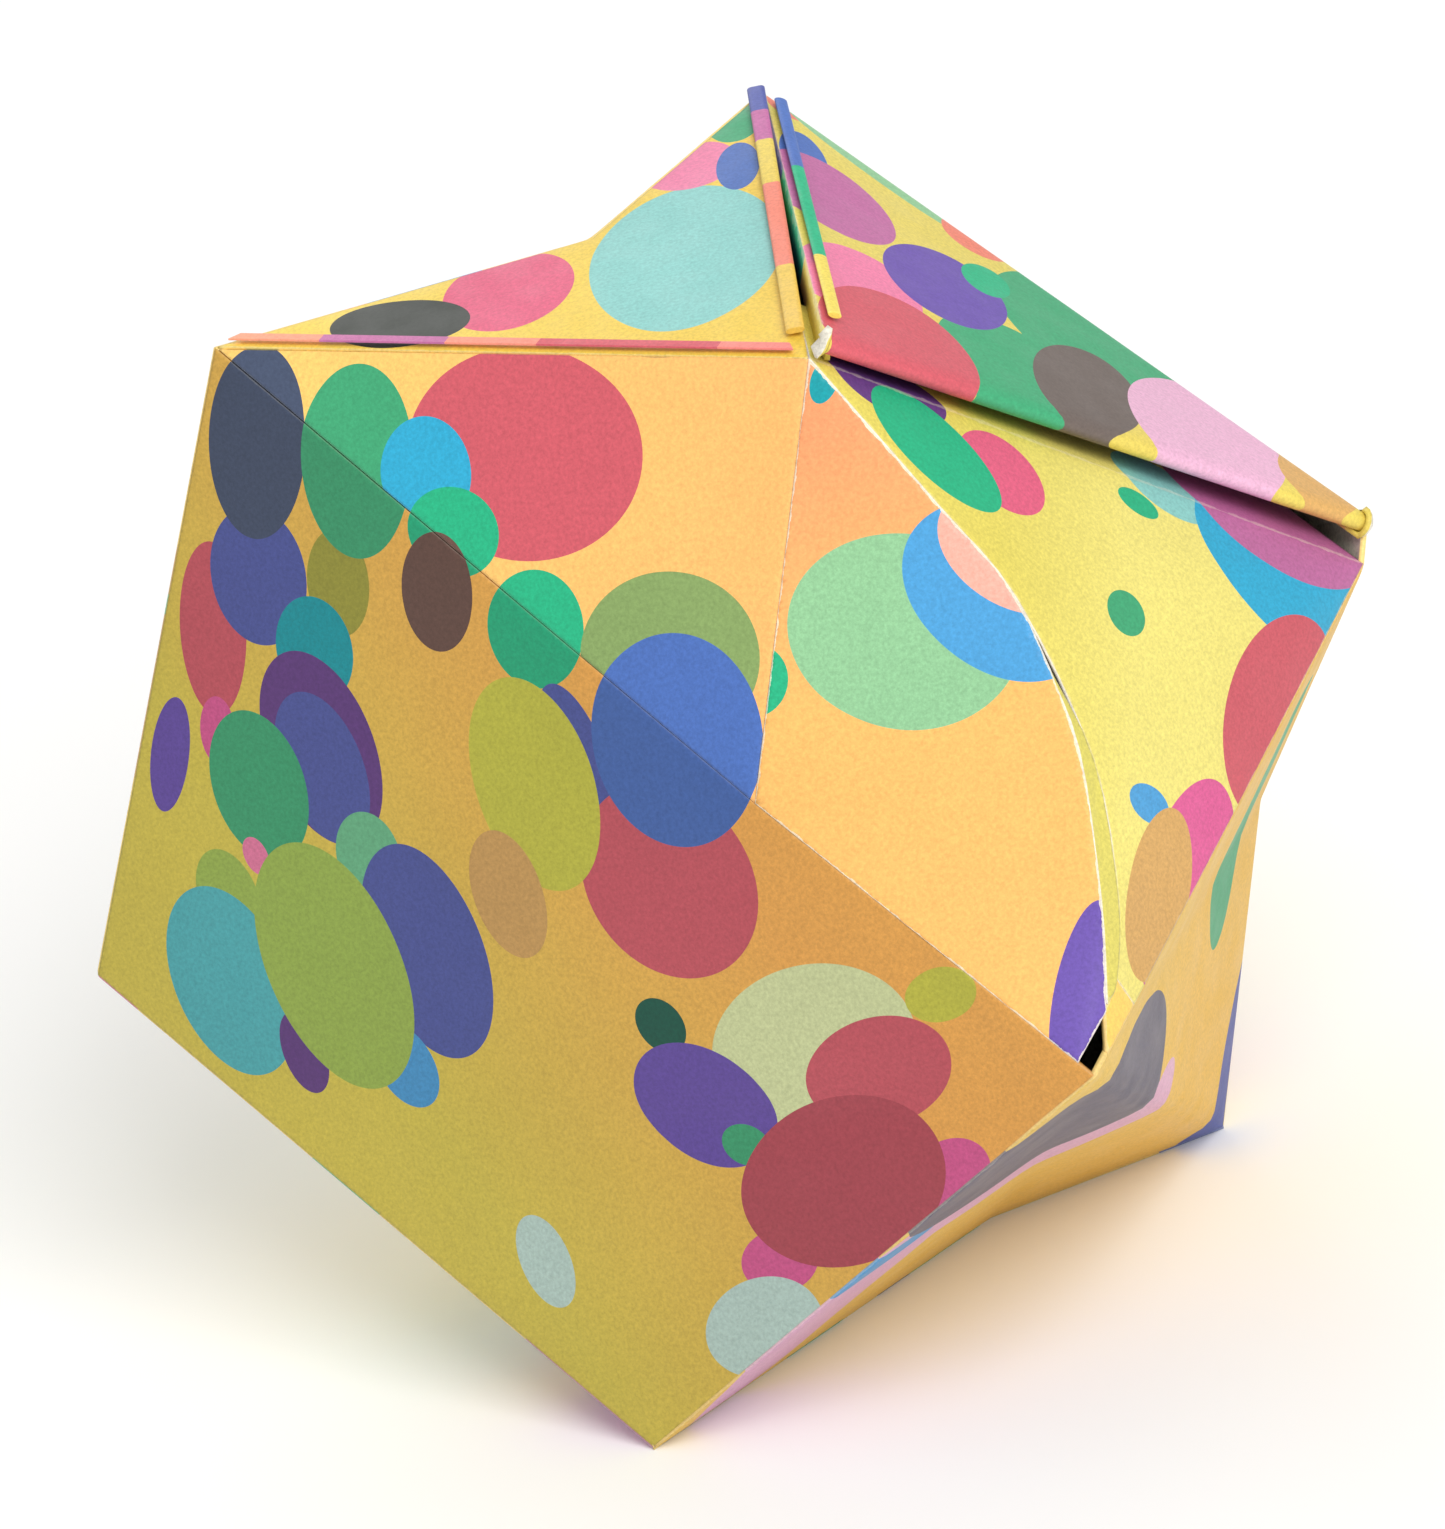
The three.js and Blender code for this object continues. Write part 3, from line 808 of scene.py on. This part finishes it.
view = {
    "right": (0.972, -0.1005, -0.212), "towards": (0, -0.9036, 0.4285),
    "height": 39.73 * mm, "distance": 0.5315, "lens": 170.2, "slideRight": 0.26 * mm, "slideUp": -0.7 * mm,
}
towards = Vector(view["towards"]).normalized()
right = Vector(view["right"])
right = (right - towards * right.dot(towards)).normalized()
up = towards.cross(right)
target = Vector((0, 0, view["height"])) + right * view["slideRight"] + up * view["slideUp"]
cameraData = bpy.data.cameras.new("camera")
cameraData.lens = view["lens"]
cameraData.clip_start = 0.01
camera = bpy.data.objects.new("camera", cameraData)
bpy.context.scene.collection.objects.link(camera)
turn = Matrix((right, up, towards)).transposed().to_4x4()
camera.matrix_world = Matrix.Translation(target + towards * view["distance"]) @ turn
bpy.context.scene.camera = camera

floorLook = {"halfSize": 4, "gap": 0.05 * mm, "paint": (0.96, 0.96, 0.955, 1), "rough": 0.9}
floorMesh = bmesh.new()
bmesh.ops.create_grid(floorMesh, x_segments=8, y_segments=8, size=floorLook["halfSize"])
bmesh.ops.translate(floorMesh, verts=floorMesh.verts, vec=(0, 0, -floorLook["gap"]))
floorData = bpy.data.meshes.new("floor")
floorMesh.to_mesh(floorData)
floorMesh.free()
floor = bpy.data.objects.new("floor", floorData)
bpy.context.scene.collection.objects.link(floor)
floorPaint, _, floorShader = blankMaterial("floorPaint")
floorShader.inputs["Base Color"].default_value = floorLook["paint"]
floorShader.inputs["Roughness"].default_value = floorLook["rough"]
floorData.materials.append(floorPaint)

lampDistance = 0.9
fillLight = 0.62
lamps = {
    "key": {"from": (0.3, -0.66, 0.69), "size": 0.55, "power": 5.6, "tint": (1, 0.99, 0.97)},
    "rear": {"from": (-0.2, 0.8, 0.6), "size": 0.7, "power": 2.0, "tint": (1, 1, 1)},
}
for name, lamp in lamps.items():
    data = bpy.data.lights.new(name, "AREA")
    data.energy = lamp["power"]
    data.size = lamp["size"]
    data.color = lamp["tint"]
    light = bpy.data.objects.new(name, data)
    bpy.context.scene.collection.objects.link(light)
    place = Vector(lamp["from"]).normalized() * lampDistance + ballMiddle
    aimed = (place - ballMiddle).to_track_quat("Z", "Y").to_matrix().to_4x4()
    light.matrix_world = Matrix.Translation(place) @ aimed

world = bpy.data.worlds.new("studio")
bpy.context.scene.world = world
world.use_nodes = True
world.node_tree.nodes["Background"].inputs[0].default_value = (1, 1, 1, 1)
world.node_tree.nodes["Background"].inputs[1].default_value = fillLight
bpy.context.scene.view_settings.view_transform = "Standard"
print("camera and light set")
